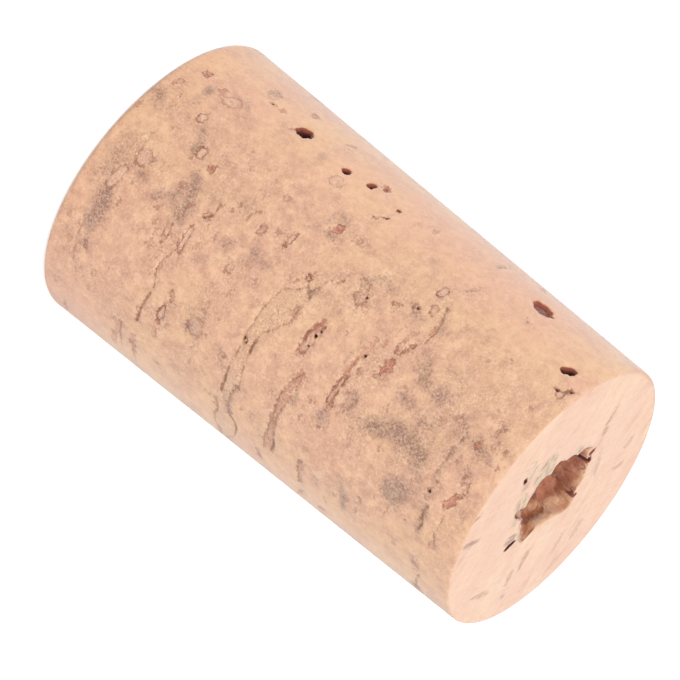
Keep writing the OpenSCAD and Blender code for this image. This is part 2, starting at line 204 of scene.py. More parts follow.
# Grey clouds of spotted cork: angle, height, length, width, slant, strength.
STAINS = [
    (9, 24.8, 6, 5, 0, 0.34), (3, 27.5, 3.5, 3, 0, 0.26), (0, 6, 4, 5, 0, 0.2),
    (4, 11, 3, 5, 0, 0.22), (18, 2, 5, 2.4, 0, 0.25), (30, 26.4, 4, 2, 0, 0.2),
    (17, 24.3, 2.6, 1, 85, 1), (20, 22.6, 1.6, 0.9, -60, 0.9), (24, 21.6, 1.2, 0.8, -40, 0.6),
    (20, 25.6, 1.6, 0.8, 30, 0.6), (7, 24, 2.6, 0.7, 80, 0.6), (6, 22.7, 0.9, 0.8, 0, 0.5),
    (-3, 24.5, 0.9, 0.8, -40, 0.9), (-5, 23.2, 1.6, 0.8, 50, 0.6), (-9, 22.5, 1.5, 0.8, 30, 0.55),
    (36, 25.1, 1.6, 1.1, -15, 1.25), (58, 22.5, 1.7, 0.6, 5, 0.8), (50, 22.2, 1.2, 0.8, -20, 0.4),
    (54, 21.4, 0.9, 0.7, -30, 0.35), (-23, 18.1, 1.2, 0.6, 75, 0.8), (-20, 17.2, 1.2, 0.5, -25, 0.7),
    (-14, 16.6, 1, 0.8, -40, 0.4), (20, 20.75, 1.3, 0.6, -5, 0.6), (15.5, 20.6, 0.6, 0.6, 0, 0.5),
    (32, 19.6, 1, 0.7, -20, 1), (28, 19.6, 1, 0.4, 0, 0.4), (38, 27.3, 1.8, 0.5, 4, 0.9),
    (12, 26.9, 2.6, 0.35, 0, 0.6), (28, 27, 1.6, 0.4, -5, 0.5), (3.5, 28.5, 1.3, 0.45, 80, 0.8),
    (2, 27.8, 0.6, 0.5, 0, 0.8), (0, 26.5, 1, 0.6, 80, 0.5), (-8, 28.35, 0.8, 0.5, -30, 0.6),
    (-2, 29.2, 1.2, 0.35, 5, 0.5), (27, 29.3, 0.9, 0.5, 30, 0.7), (12, 28.2, 0.9, 0.6, 0, 0.4),
    (31, 26, 2.2, 1.2, -10, 0.4), (0, 12, 2, 0.5, 90, 0.65), (-0.5, 10.8, 1.2, 0.5, 85, 0.4),
    (2.5, 9.6, 0.8, 0.5, -30, 0.7), (11, 9.3, 1.2, 0.35, -65, 0.6), (14.5, 8.6, 0.4, 0.4, 0, 0.7),
    (7, 10.3, 0.9, 0.6, 30, 0.5), (33, 10.7, 1.2, 1, -30, 0.6), (31, 9.8, 0.7, 0.5, 0, 0.55),
    (36, 10.2, 0.5, 0.4, 0, 0.6), (0, 6.3, 2.2, 1.2, 10, 0.75), (-7.5, 5.9, 0.9, 0.6, 30, 0.8),
    (6, 6.3, 0.8, 0.6, 40, 0.7), (4, 5, 1.5, 0.7, -40, 0.6), (6, 4.4, 0.8, 0.5, -60, 0.4),
    (-8, 7.5, 1.2, 0.6, -10, 0.6), (26, 2.15, 1.4, 0.8, 5, 1.1), (17, 2.3, 1.1, 0.7, 0, 1),
    (21, 2.3, 1.8, 0.7, 0, 0.7), (25, 3, 0.7, 0.6, 60, 0.6), (3.5, 3.4, 0.8, 0.35, 75, 0.7),
    (7, 1.3, 1.6, 0.8, 0, 0.6), (-2.5, 1.7, 1.6, 0.7, 0, 0.55), (-23, 0.8, 1.1, 0.9, 40, 0.9),
    (-28, 2.4, 0.9, 0.6, -20, 0.6), (36, 2.4, 1.5, 0.9, 0, 0.6), (38, 1.4, 0.9, 0.6, 0, 0.35),
    (-36.5, 2.45, 0.9, 0.5, 25, 1.1), (-42.5, 4.5, 0.9, 0.35, 55, 0.8), (-38, 4.9, 0.9, 0.3, 0, 0.5),
    (-43, 3.6, 0.6, 0.4, 80, 0.6), (-25, 3.85, 0.5, 0.4, 0, 0.8), (-23, 3, 0.3, 0.3, 0, 0.8),
    (-19, 4.45, 1.1, 0.4, 25, 0.9), (-22, 4.3, 0.6, 0.4, 40, 0.7), (-14, 4.6, 0.7, 0.4, 30, 0.6),
    (-20.5, 5.2, 0.7, 0.25, 60, 0.5), (-44, 9.7, 1.6, 0.6, 5, 0.5), (-50, 9.4, 1.2, 0.7, 0, 0.25),
    (-45, 6.8, 1.4, 0.4, 20, 0.45), (-42.5, 7.6, 0.8, 0.35, -50, 0.45), (-45, 8.2, 0.5, 0.3, 0, 0.4),
    (-54, 7.1, 0.4, 0.3, 0, 0.45), (-60, 19, 2.6, 2.2, 0, 0.22), (-67, 20.6, 1.2, 0.35, 0, 0.7),
    (-42, 18.6, 0.8, 0.6, -30, 0.7), (-31.5, 13.4, 0.9, 0.5, 60, 0.8), (-27.5, 12.95, 0.9, 0.4, -10, 0.8),
    (-22.5, 13.7, 0.9, 0.4, 70, 0.7), (-25, 14.3, 0.6, 0.35, 0, 0.5), (-20, 12.4, 0.9, 0.6, -10, 0.5),
    (-12, 11.4, 1.2, 0.5, 0, 0.3), (-58, 4.6, 0.9, 0.8, 0, 0.7), (-64, 6.3, 1.2, 0.4, 0, 0.35),
    (-28, 20.2, 0.6, 0.4, 0, 0.5), (-22, 20, 0.9, 0.5, 70, 0.9), (-20, 20.8, 0.9, 0.5, 80, 0.6),
    (-27, 21.5, 1.2, 0.4, 12, 0.6), (-46, 14.9, 1.3, 0.4, -10, 0.5), (-38.5, 14.3, 0.5, 0.5, 0, 0.5),
    (-13, 13, 0.5, 0.5, 0, 0.4), (1, 19.1, 0.9, 0.4, 20, 0.5), (7, 19.1, 1, 0.3, 0, 0.7),
    (14.5, 18.4, 0.9, 0.4, -70, 0.5), (32, 17.7, 1.3, 0.4, 0, 0.6), (15, 17.2, 0.5, 0.4, 0, 0.4),
    (-4, 15.25, 0.6, 0.3, -10, 0.9), (-1, 15.15, 0.6, 0.4, 30, 0.9), (5, 15.1, 0.6, 0.25, -10, 0.8),
    (26, 14.9, 0.4, 0.4, 0, 0.6), (44, 14.3, 0.8, 0.4, 70, 0.7), (56, 14.05, 1, 0.4, 0, 0.8),
    (48, 14.2, 1.4, 0.3, 0, 0.5), (60, 14.4, 0.6, 0.4, 40, 0.8), (78, 13.35, 1.2, 0.4, -10, 0.9),
    (81, 13.9, 0.8, 0.6, 0, 0.6), (41, 13.05, 0.4, 0.3, 0, 0.6), (35, 12.7, 0.3, 0.5, 0, 0.4),
    (33, 12, 0.5, 0.3, 0, 0.4), (43, 11.9, 0.8, 0.5, -20, 0.35), (60, 27.6, 2.2, 0.8, 0, 0.45),
    (80, 27.7, 1.2, 0.7, -5, 1), (46, 27.2, 1.2, 0.4, -20, 0.5), (-79, 10.7, 1.6, 0.35, 20, 0.6),
    (-76, 21.2, 1.4, 0.5, 0, 0.4), (-12, 20.3, 0.8, 0.6, 20, 0.35), (-4, 17, 0.5, 0.8, 0, 0.4),
    (-60, 29, 2, 0.8, 0, 0.12), (-48.5, 24.6, 0.9, 0.3, 25, 0.4), (-50, 25.4, 0.4, 0.3, 0, 0.4),
    (-42, 21.2, 1, 0.35, -20, 0.45), (-55, 17, 0.35, 0.18, 0, 0.8), (-40, 16.2, 0.9, 0.25, 0, 0.4),
]

# Break round the mouth of the hole: angle, reach beyond the wall as a share of TEAR_REACH.
TEAR_REACH = 1.4
TEAR_DEPTH = 1.8
TEAR = [
    (2, 0.86), (15, 0.66), (25, 0.58), (31, 1), (37, 0.98), (46, 0.45), (59, 0.5),
    (72, 0.44), (88, 0.6), (98, 0.62), (105, 0.2), (114, -0.15), (140, -0.2),
    (160, -0.1), (172, 0.3), (187, 0.6), (197, 0.42), (207, 0.15), (226, 0.44),
    (240, 0.4), (252, 0.66), (265, 0.8), (276, 1), (286, 0.95), (294, 0.6),
    (308, 0.7), (316, 0.64), (326, 0.92), (333, 0.84), (340, 0.56), (347, 0.84),
]

# Marks in the narrow end are placed in mm from the axis: to the right (+X), to the front (-Y).
# Holes: right, front, length, width, turn of the length from the right, depth.
END_HOLES = [
    (-2.5, -0.62, 0.9, 0.6, 10, 0.8), (-3.3, -0.35, 0.35, 0.2, 10, 0.35), (1.75, 2.65, 0.95, 0.5, 80, 0.6),
    (-0.85, -2.4, 0.35, 0.25, 80, 0.3), (3.45, 0.8, 0.8, 0.24, 22, 0.7), (0.22, 5.1, 0.4, 0.18, 100, 0.6),
]
# Dull brown streaks and shadows in the end: right, front, length, width, turn, strength.
END_STAINS = [
    (0.3, 4.6, 1.6, 0.7, -25, 0.5), (-0.6, 6, 1.3, 0.5, -10, 0.4), (-1.2, 4.2, 1, 0.7, 20, 0.4),
    (1.5, 3.8, 1, 0.5, -40, 0.5), (3.2, 1.3, 1, 0.8, 30, 0.8), (2.7, 0.7, 1.4, 0.5, -60, 0.4),
    (-5.4, 0.7, 1.8, 0.3, -19, 0.7), (-4.6, 0.1, 0.8, 0.4, -30, 0.8), (4.6, 5.8, 1.6, 0.5, 55, 0.8),
    (3.6, 7.5, 1.6, 0.5, 15, 0.7), (6.5, -0.4, 2.2, 0.45, 60, 0.6), (7.4, -2, 1.2, 0.3, 0, 0.4),
    (1.6, -4.6, 0.6, 0.35, 70, 0.25), (6.3, 0.9, 1, 0.5, 70, 0.3), (-2.6, -2.3, 1.2, 0.7, -50, 0.4),
    (4.4, -2, 0.4, 0.25, 0, 0.3), (2.7, -2.2, 0.9, 0.4, -30, 0.25), (-7.6, 2.6, 0.4, 0.4, 0, 0.4),
]
# Pale frayed fibres in the end, same columns.
END_FRAYED = [
    (-0.9, 3.7, 2.2, 1.6, -15, 1), (-0.4, 5.3, 1.6, 1, -20, 0.7), (1.3, 3.4, 1.6, 0.9, -35, 1),
    (2.3, 2.4, 1, 0.8, -60, 0.8), (-2.9, 1.3, 1.4, 0.8, 70, 0.8), (-3.3, 0.2, 1.2, 0.6, 80, 0.7),
    (3, 0.9, 1.2, 1.2, 20, 0.6), (-1.6, -2.6, 1, 0.5, 30, 0.5),
]
# Rust coloured streaks in the end, same columns.
END_RUST = [
    (1.75, 2, 1.7, 0.6, 90, 1), (-2.6, -0.2, 1.4, 0.7, 80, 0.8), (-1, -1.9, 0.5, 0.4, 0, 0.8),
    (-2, -1, 1.9, 0.7, -36, 0.9), (-3.2, 0.5, 1.2, 0.25, 70, 0.7), (3.6, -2.4, 1.7, 0.4, -31, 0.8),
    (4.8, -2.3, 1.2, 0.35, -40, 0.6), (-5, -4.1, 1, 0.5, -6, 0.5), (-3.6, -5.1, 0.9, 0.4, 40, 0.7),
    (0.5, -6.1, 1.6, 0.5, -20, 0.4), (-3, -2.2, 2.2, 0.35, -54, 0.45), (1.8, -5.1, 1.3, 0.4, -20, 0.4),
    (5.9, -3.4, 0.6, 0.3, 10, 0.6), (2.6, -6.6, 2, 0.4, 10, 0.35),
]
# The same two kinds in the wide end, where the plug stands.
WIDE_STAINS = [
    (5.2, 2.6, 1.8, 0.5, -20, 0.7), (-4.6, 3.8, 1.4, 0.5, 35, 0.6), (-6.4, -1.8, 2, 0.5, 15, 0.6),
    (2.8, -5.6, 1.6, 0.6, -15, 0.7), (-2.4, -5, 1.2, 0.5, 25, 0.5), (6.9, -2.2, 1.1, 0.4, 70, 0.5),
    (0.6, 6.6, 1.9, 0.5, 10, 0.6), (-3.2, 0.9, 1, 0.5, -40, 0.5), (3.6, -0.8, 0.9, 0.5, 20, 0.5),
]
WIDE_RUST = [
    (4.4, 4.9, 1.5, 0.6, -30, 0.9), (-5.6, 1.6, 1.2, 0.5, 20, 0.8), (1.2, -7.1, 1.6, 0.5, -10, 0.7),
    (-2.9, -3.3, 1.1, 0.5, 40, 0.8), (6, -4.1, 1, 0.5, 60, 0.7), (-1.4, 4.4, 0.9, 0.4, -15, 0.6),
]

# -------- bark that no list names
rng = np.random.default_rng(11)
MOST_SLANT = 25


def scattered(count, angles, heights, length, width, strength):
    """Marks of one kind strewn over a stretch of the side, in the columns of the lists above."""
    return [
        (rng.uniform(*angles), rng.uniform(*heights), rng.uniform(*length), rng.uniform(*width),
         rng.uniform(-MOST_SLANT, MOST_SLANT), rng.uniform(*strength))
        for _ in range(count)
    ]


BACK = (84, 276)
BUSY_FRONT = (-30, 66)
BUSY_BACK = (184, 246)
RUST += scattered(46, BACK, (1, 29), (0.5, 1.6), (0.25, 0.5), (0.4, 0.9))
RINGS += scattered(16, BACK, (1.5, 28.5), (0.7, 1.6), (0.4, 0.8), (0.4, 0.8))
STAINS += scattered(95, BACK, (0.5, 29.5), (0.6, 2.4), (0.4, 1.1), (0.35, 1))
RUST += scattered(110, BUSY_FRONT, (0.8, 29.4), (0.14, 0.5), (0.08, 0.22), (0.2, 0.6))
RINGS += scattered(46, BUSY_FRONT, (0.8, 29.4), (0.22, 0.7), (0.14, 0.32), (0.2, 0.55))
STAINS += scattered(70, BUSY_FRONT, (0.5, 29.5), (0.3, 1.4), (0.2, 0.6), (0.15, 0.45))

# The grooves that run round the back: middle angle, half span, height as a share of the length.
BACK_GROOVES = [
    (222, 17, 0.85), (238, 22, 0.68), (216, 14, 0.55), (232, 26, 0.4), (244, 12, 0.25), (224, 18, 0.13),
    (104, 12, 0.47), (101, 10, 0.24), (160, 12, 0.36), (170, 15, 0.74), (188, 12, 0.2),
]
GROOVE_POINTS = 9
GROOVE_STRENGTH = 0.85
for middle, half_span, share in BACK_GROOVES:
    heights = share * CORK_LEN + np.cumsum(rng.normal(0, 0.14, GROOVE_POINTS))
    angles = np.linspace(middle - half_span, middle + half_span, GROOVE_POINTS)
    warmth, half_width = rng.uniform(0.2, 0.8), rng.uniform(0.04, 0.07)
    SEAMS.append((GROOVE_STRENGTH, warmth, half_width, list(zip(angles, heights))))

RUST += scattered(90, BUSY_BACK, (0.8, 29.2), (0.2, 0.7), (0.1, 0.26), (0.25, 0.7))
RINGS += scattered(30, BUSY_BACK, (1, 29), (0.3, 0.9), (0.18, 0.4), (0.3, 0.7))
STAINS += scattered(60, BUSY_BACK, (0.5, 29.5), (0.3, 1.6), (0.2, 0.7), (0.2, 0.6))

# -------- distances to the marks
FAR_OFF = 5.0
TINY = 1e-6
TINY_SQUARE = 1e-9
MM_PER_DEGREE = math.radians(MEAN_R)


def smooth(low, high, value):
    """0 up to low, 1 from high on and a smooth rise between them: low may be the larger."""
    share = np.clip((value - low) / (high - low), 0, 1)
    return share * share * (3 - 2 * share)


def sin_cos(degrees):
    return math.sin(math.radians(degrees)), math.cos(math.radians(degrees))


def turned(degrees, middle):
    """Difference of two angles, from -180 to 180."""
    return (degrees - middle + 180) % 360 - 180


def around(angle, middle, gone, full):
    """1 up to full degrees from the middle angle, and 0 from gone degrees on."""
    return smooth(gone, full, np.abs(turned(angle, middle)))


def speckle(points, *lumps):
    """Soft noise made of lumps, each given by its height and its size in mm."""
    return sum(height * np.array([noise.noise(Vector(point)) for point in points / size])
               for height, size in lumps)


def inside_oval(right, up, length, width, slant):
    """How far in mm a place is inside an oval's outline: negative outside."""
    sin, cos = sin_cos(slant)
    along, across = right * cos + up * sin, up * cos - right * sin
    half_length, half_width = length / 2, width / 2
    ratio = np.hypot(along / half_length, across / half_width) + TINY
    steepness = np.hypot(along / half_length ** 2, across / half_width ** 2)
    return ratio * (1 - ratio) / (steepness + TINY / min(half_length, half_width))


def from_line(right, up, route):
    """Distance in mm to a line through the route's points."""
    nearest = np.full(len(right), FAR_OFF)
    for (x0, y0), (x1, y1) in zip(route, route[1:]):
        dx, dy = x1 - x0, y1 - y0
        share = np.clip(((right - x0) * dx + (up - y0) * dy) / (dx * dx + dy * dy + TINY_SQUARE), 0, 1)
        nearest = np.minimum(nearest, np.hypot(right - x0 - share * dx, up - y0 - share * dy))
    return nearest


def foremost(marks):
    """How far inside its nearest mark each point is, in mm, and that mark's looks."""
    inside = np.full(len(marks[0][0]), -FAR_OFF)
    looks = np.zeros((len(inside), np.size(marks[0][1])))
    for reach, look in marks:
        nearer = reach > inside
        inside[nearer] = reach[nearer]
        looks[nearer] = look
    return inside, looks.T


# Open marks, how far their outline strays, and over which stretch of it they reach their depth.
PORE_EDGES = ((OPEN_PORES, 0.09, (-0.05, 0.18)), (SPECKS, 0.03, (-0.04, 0.06)))
GRAINY_STRAY = 0.2
SOFT_EDGE = 0.25
# The bark's rings were cut across at these angles, and this many degrees on the marks thin out.
BUSY_MIDDLES = (12, 212)
BUSY_GONE = 62
BUSY_FULL = 38
STAIN_STRENGTH = 0.75


class Bark:
    """Distances in mm from the points of the side to the marks, for all the points at once."""

    def __init__(self, angle, height, strayed):
        self.angle, self.height, self.strayed = angle, height, strayed

    def oval(self, mark):
        angle, height, length, width, slant = mark[:5]
        right = turned(self.angle, angle) * MM_PER_DEGREE
        return inside_oval(right, self.height - height, length, width, slant)

    def from_route(self, places):
        """Distance to a line through places on the side."""
        middle = places[len(places) // 2][0]
        right = turned(self.angle, middle) * MM_PER_DEGREE
        route = [((angle - middle) * MM_PER_DEGREE, height) for angle, height in places]
        return from_line(right, self.height, route)

    def pores(self):
        """Depth of the open pores and specks."""
        depth = np.zeros(len(self.angle))
        for marks, stray, edge in PORE_EDGES:
            for mark in marks:
                inside = self.oval(mark) + stray * self.strayed
                depth = np.maximum(depth, mark[5] * smooth(*edge, inside))
        return depth

    def filled(self):
        pores = [(self.oval(mark), mark[5]) for mark in RUST]
        streaks = [(half_width - self.from_route(route), strength) for strength, half_width, route in BANDS]
        return foremost(pores + streaks)

    def outlined(self):
        return foremost([(self.oval(mark), mark[5]) for mark in RINGS])

    def seamed(self):
        return foremost([(half_width - self.from_route(route), (strength, warmth))
                         for strength, warmth, half_width, route in SEAMS])

    def grainy(self):
        field = np.zeros(len(self.angle))
        for strength, half_width, route in GRAINY:
            inside = half_width - self.from_route(route) + GRAINY_STRAY * self.strayed
            field = np.maximum(field, strength * smooth(-SOFT_EDGE, SOFT_EDGE, inside))
        return field

    def busy(self):
        """How crowded the bark is with small marks: most where its rings were cut across."""
        return np.maximum(*(around(self.angle, middle, BUSY_GONE, BUSY_FULL) for middle in BUSY_MIDDLES))

    def stains(self):
        clear = np.ones(len(self.angle))
        for mark in STAINS:
            reach = 0.5 * min(mark[2], mark[3]) + 0.1
            clear *= 1 - np.clip(STAIN_STRENGTH * mark[5], 0, 1) * smooth(-reach, reach, self.oval(mark))
        return 1 - clear


# -------- the plain form
# The skin's columns round the cork, and its rows over each stretch of the section.
COLUMNS = 230
WIDE_ROWS = 26
ROUND_ROWS = 5
SIDE_ROWS = 126
TOP_ROWS = 3
END_ROWS = 28
TORN_ROWS = 24
BORE_ROWS = 40
BORE_EDGE = 0.08


def side_radius(height):
    return WIDE_R + (NARROW_R - WIDE_R) * height / CORK_LEN


def end_height(x, y):
    """Height of the slanting narrow end."""
    right, front = sin_cos(CUT_SIDE)
    return CORK_LEN + CUT_RISE * (x * right - y * front)


def listed(values_by_angle, angle):
    """Value at an angle, between those of a list of angles and values."""
    angles, values = zip(*values_by_angle)
    return np.interp(angle, angles, values, period=360)


def mouth_radius(angle):
    return BORE_R + TEAR_REACH * listed(TEAR, angle)


def quarter_round(rows, radius):
    """Places on a quarter circle, counted from where it leaves a flat: along the flat, away from it."""
    steps = np.linspace(0, math.pi / 2, rows + 1)
    return radius * np.sin(steps), radius * (1 - np.cos(steps))


def cut_through(angle):
    """Half of the cork's section, as a closed loop of radii and heights round the cork's flesh."""
    right, front = sin_cos(angle)
    top_r = side_radius(CORK_LEN)
    rim_top = end_height(top_r * right, -top_r * front)
    mouth_r = float(mouth_radius(angle))

    wide_r = np.linspace(BORE_R + BORE_EDGE, WIDE_R - RIM_ROUND, WIDE_ROWS, endpoint=False)
    round_out, round_up = quarter_round(ROUND_ROWS, RIM_ROUND)
    side_z = np.linspace(RIM_ROUND, rim_top - TOP_ROUND, SIDE_ROWS, endpoint=False)[1:]
    crisp_up, crisp_in = quarter_round(TOP_ROWS, TOP_ROUND)
    end_r = np.linspace(top_r - TOP_ROUND, mouth_r, END_ROWS, endpoint=False)[1:]
    share = np.linspace(0, 1, TORN_ROWS)
    torn_r = mouth_r + (BORE_R - mouth_r) * share
    torn_z = end_height(torn_r * right, -torn_r * front) - TEAR_DEPTH * share
    # The rows of the hole's wall lie closer together near the mouth, where most of it is seen.
    wall_z = torn_z[-1] + (BORE_EDGE - torn_z[-1]) * np.linspace(0, 1, BORE_ROWS)[1:] ** 2
    stretches = [
        (wide_r, 0 * wide_r),
        (WIDE_R - RIM_ROUND + round_out, round_up),
        (side_radius(side_z), side_z),
        (top_r - crisp_in, rim_top - TOP_ROUND + crisp_up),
        (end_r, end_height(end_r * right, -end_r * front)),
        (torn_r, torn_z),
        (0 * wall_z + BORE_R, wall_z),
    ]
    return np.concatenate([r for r, z in stretches]), np.concatenate([z for r, z in stretches])


def plain_cork():
    """The turned, cut and drilled plug as one closed skin of quads."""
    skin = bmesh.new()
    rings = []
    for angle in np.arange(COLUMNS) * 360 / COLUMNS:
        right, front = sin_cos(angle)
        rings.append([skin.verts.new((r * right, -r * front, z)) for r, z in zip(*cut_through(angle))])
    for near, far in zip(rings, rings[1:] + rings[:1]):
        for row in range(len(near)):
            after = (row + 1) % len(near)
            skin.faces.new((near[row], far[row], far[after], near[after]))
    skin.verts.index_update()
    return skin


class Places:
    """Where each point of a skin is: on the side, on an end or in the hole."""

    EDGE = 0.002
    TEAR_EDGE = 0.01
    STRAY = ((1, 0.3), (0.5, 0.13))

    def __init__(self, skin):
        self.points = np.array([vert.co for vert in skin.verts])
        self.x, self.y, self.z = self.points.T
        self.r = np.hypot(self.x, self.y)
        self.angle = np.degrees(np.arctan2(self.x, -self.y))
        self.down = end_height(self.x, self.y) - self.z
        mouth = mouth_radius(self.angle)
        self.torn = self.r < np.maximum(mouth, BORE_R) + self.EDGE
        self.torn &= self.down < TEAR_DEPTH + self.TEAR_EDGE
        self.torn &= (mouth > BORE_R) | (self.r > mouth - self.EDGE)
        self.hole = (self.r < BORE_R + self.EDGE) | self.torn
        self.narrow = ~self.hole & (self.down < self.EDGE)
        self.wide = ~self.hole & (self.z < self.EDGE)
        self.side = ~(self.hole | self.narrow | self.wide)
        self.beyond_mouth = self.r - mouth
        self.way_in = np.clip(self.down / TEAR_DEPTH, 0, 1)
        # How a mark's outline strays, from about -1 to 1.
        self.strayed = speckle(self.points, *self.STRAY)

    def bark(self):
        """The marks' distances for the points of the side."""
        return Bark(self.angle[self.side], self.z[self.side], self.strayed[self.side])

    def outward(self):
        """Direction out of the cork's flesh at each point."""
        outward = np.stack([self.x / self.r, self.y / self.r, 0 * self.r], 1)
        outward[self.narrow] = (0, 0, 1)
        outward[self.wide] = (0, 0, -1)
        outward[self.hole] *= -1
        return outward


def on_end(places, mark):
    """How far in mm a place is inside an oval drawn on an end."""
    right, front, length, width, slant = mark[:5]
    return inside_oval(places.x - right, -places.y - front, length, width, slant)


def refine(skin, margin, holes_alone):
    """Halves the edges nearer than margin to a sharp outline: an open hole's, or also any other mark's."""
    places = Places(skin)
    bark = places.bark()
    near = np.zeros(len(bark.angle), bool)
    for mark in OPEN_PORES + SPECKS + ([] if holes_alone else RUST + RINGS):
        near |= bark.oval(mark) > -margin
    for *look, half_width, route in [] if holes_alone else SEAMS + BANDS:
        near |= bark.from_route(route) < half_width + margin
    close = np.zeros(len(places.r), bool)
    close[places.side] = near
    for mark in END_HOLES:
        close |= (on_end(places, mark) > -margin) & places.narrow
    if not holes_alone:
        close |= (places.beyond_mouth < margin) & places.narrow
    edges = [edge for edge in skin.edges if close[edge.verts[0].index] or close[edge.verts[1].index]]
    bmesh.ops.subdivide_edges(skin, edges=edges, cuts=1, use_grid_fill=True)
    bmesh.ops.triangulate(skin, faces=[face for face in skin.faces if len(face.verts) > 4])
    skin.verts.index_update()


# -------- marks of the whole skin
# Kept for each point: how strong a mark is there, and how far inside its outline the point lies.
STRENGTHS = ("pore", "rust", "ring", "seam", "warmth", "stain", "grainy", "busy", "frayed", "torn", "deep",
             "end_grain")
DISTANCES = ("rust_in", "ring_in", "seam_in")
# A pore is painted dark as shade from this depth on.
DARK_FROM = 0.5
FRAYED_EDGE = 0.35
END_STRAY = 0.06


def end_field(places, marks, edge, outset=0.0):
    """Strongest of the end's marks at each point, each drawn larger by the outset."""
    field = np.zeros(len(places.r))
    for mark in marks:
        inside = on_end(places, mark) + outset + END_STRAY * places.strayed
        field = np.maximum(field, mark[5] * smooth(-edge, edge, inside))
    return field


def laid_marks(places):
    """What lies where on the skin: one value a point and mark."""
    count = len(places.r)
    side, narrow, wide = places.side, places.narrow, places.wide
    marks = {name: np.zeros(count) for name in STRENGTHS}
    marks |= {name: np.full(count, -FAR_OFF) for name in DISTANCES}

    bark = places.bark()
    marks["pore"][side] = bark.pores() / DARK_FROM
    marks["rust_in"][side], (marks["rust"][side],) = bark.filled()
    marks["ring_in"][side], (marks["ring"][side],) = bark.outlined()
    marks["seam_in"][side], (marks["seam"][side], marks["warmth"][side]) = bark.seamed()
    marks["grainy"][side] = bark.grainy()
    marks["busy"][side] = bark.busy()
    marks["stain"][side] = bark.stains()

    marks["end_grain"][narrow | wide] = 1
    marks["stain"][narrow] = end_field(places, END_STAINS, SOFT_EDGE)[narrow]
    marks["stain"][wide] = end_field(places, WIDE_STAINS, SOFT_EDGE)[wide]
    at_mouth = narrow | (places.hole & (places.down < TEAR_DEPTH))
    for face, streaks in ((at_mouth, END_RUST), (wide, WIDE_RUST)):
        inside, (strength,) = foremost([(on_end(places, mark), mark[5]) for mark in streaks])
        marks["rust_in"][face] = inside[face]
        marks["rust"][face] = strength[face]
    marks["frayed"][narrow] = end_field(places, END_FRAYED, FRAYED_EDGE)[narrow]
    marks["torn"] = np.where(places.hole, 1, smooth(0.12, -0.02, places.beyond_mouth) * narrow)
    return marks


# -------- relief of the whole skin, in mm
SEAM_DEPTH = 0.07
RING_DEPTH = 0.04
RUST_DEPTH = 0.03
GRAINY_DEPTH = 0.012
SANDED_DEPTH = 0.008
OUTLINE_STRAY = 0.04


def inward_depth(places, marks, fine):
    """Depth of pores, seams and outlines, and of flesh where cork has fallen out."""
    depth = DARK_FROM * marks["pore"]
    strayed = OUTLINE_STRAY * places.strayed
    depth += SEAM_DEPTH * marks["seam"] * smooth(-0.09, 0.03, marks["seam_in"] + strayed)
    depth += RING_DEPTH * marks["ring"] * smooth(0.12, 0.02, np.abs(marks["ring_in"] + strayed))
    fallen_out = RUST_DEPTH + RUST_DEPTH * places.strayed
    depth += marks["rust"] * smooth(-0.1, 0.1, marks["rust_in"] + strayed) * fallen_out
    depth += GRAINY_DEPTH * marks["grainy"] * places.strayed + SANDED_DEPTH * fine
    return depth * ~places.hole


# How the torn mouth steps down: each ledge's share of the depth, and the part of the way in where it drops.
LEDGES = ((0.35, 0, 0.14), (0.25, 0.4, 0.62), (0.4, 0.8, 1))
STEEP_LEDGES = ((0.7, 0, 0.3), (0.3, 0.2, 1))
LUMPS = ((1, 0.9), (0.4, 0.35))
LUMP_REACH = 0.3


def dropped(way_in, ledges):
    return sum(share * smooth(start, stop, way_in) for share, start, stop in ledges)


def torn_profile(places):
    """Depth below the narrow end on the way in from the mouth's edge."""
    lumps = LUMP_REACH * speckle(places.points, *LUMPS)
    way_in = places.way_in + lumps * smooth(0, 0.2, places.way_in) * smooth(1, 0.8, places.way_in)
    stepped = dropped(way_in, LEDGES)
    steep = dropped(way_in, STEEP_LEDGES)
    sloping = 0.6 * np.clip(way_in, 0, 1) ** 1.3
    stepped += (steep - stepped) * around(places.angle, 225, 75, 50)
    stepped += (sloping - stepped) * around(places.angle, 78, 40, 22)
    return TEAR_DEPTH * stepped


# Depth in the hole at which the tan flakes give way to the browner wall, the brown being painted shade
# deeper down, by angle.
BROWN_FROM = [(0, 1.0), (50, 2.0), (90, 2.4), (145, 1.57), (196, 0.8), (203, 1.0), (214, 0.2), (290, 0.15)]
# Half-torn cork that stands into the hole: reach, middle angle, half span at its foot and at full reach.
SHELVES = ((0.65, 112, 48, 20), (0.25, 175, 50, 25))
RIDGE = ((0.16, 202, 11, 3),)


def hanging_flakes(places):
    """How far half-torn cork stands into the hole: a shelf low on the right, a thin ridge at the back."""
    shelf, ridge = (
        sum(reach * around(places.angle, *span) for reach, *span in flakes) for flakes in (SHELVES, RIDGE))
    to_brown = listed(BROWN_FROM, places.angle) - places.down
    shelf *= smooth(-0.25, 0.1, to_brown) * np.clip(places.down / 1.2, 0, 1) ** 0.8
    ridge *= smooth(0.1, 0.4, places.down)
    return -shelf - ridge * smooth(2.2, 1.2, places.down)


# The hole's wall is ragged near the mouth, and calmer by this share from 9 mm down.
RAGGED_LUMPS = ((0.14, 0.6), (0.05, 0.2))
CALM = 0.3


